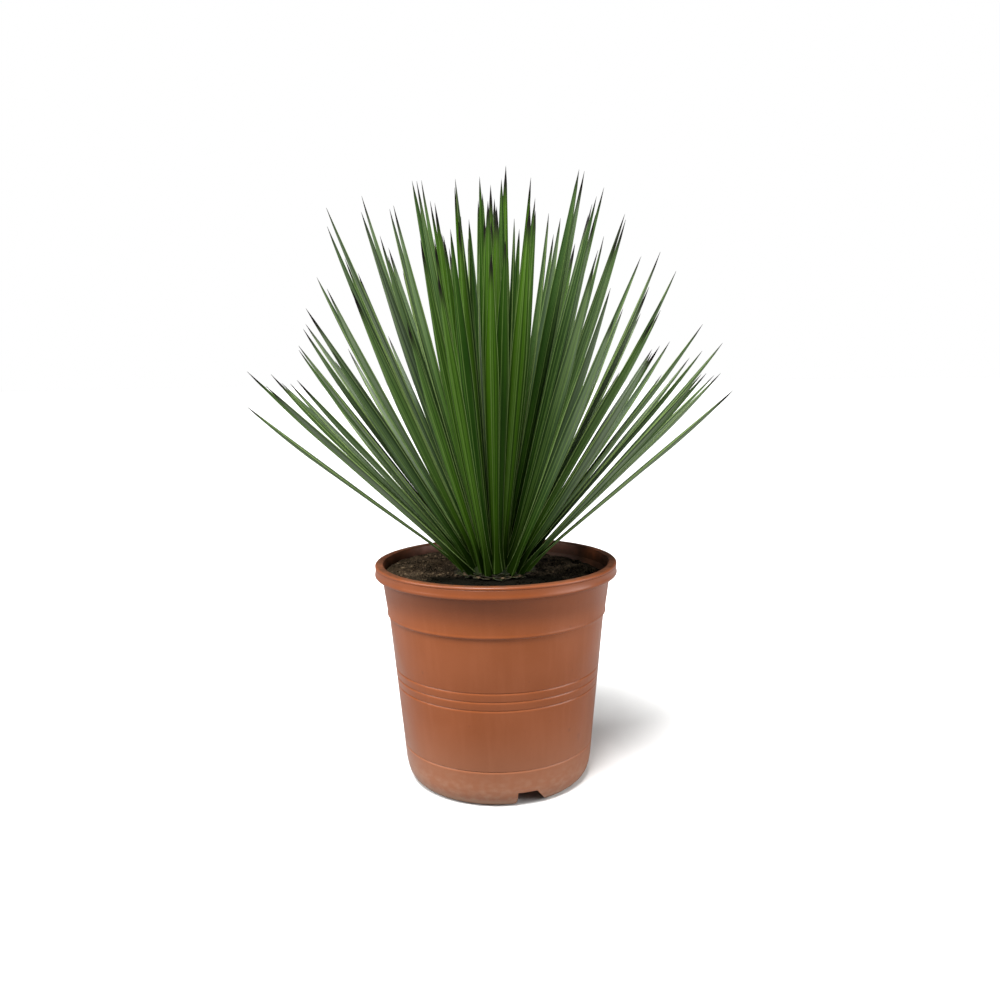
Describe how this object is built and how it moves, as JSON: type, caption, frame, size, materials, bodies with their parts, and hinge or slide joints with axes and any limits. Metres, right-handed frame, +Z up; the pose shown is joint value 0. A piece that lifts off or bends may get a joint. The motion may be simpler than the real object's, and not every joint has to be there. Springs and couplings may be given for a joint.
{
  "type": "potted yucca plant",
  "caption": "Rosette of stiff, needle-tipped sword leaves on a short woody stem, planted in a tapered plastic nursery pot with a rolled rim, notched foot ring and drainage holes.",
  "frame": {"origin": "on the floor, under the middle of the pot", "axes": "+Z up along the pot's axis; -Y towards the viewer of the picture, so the visible foot notch is to the right of -Y"},
  "size_m": [0.4791, 0.3524, 0.5889],
  "materials": {
    "terracotta_plastic": "satin",
    "potting_soil": "matte",
    "woody_stem": "matte",
    "dry_leaf_bases": "matte",
    "yucca_leaf": "satin"
  },
  "bodies": {
    "root": {"pot": "terracotta_plastic", "soil": "potting_soil", "stem": "woody_stem", "old_leaf_bases": "dry_leaf_bases", "leaf_rosette": "yucca_leaf"}
  },
  "joints": []
}
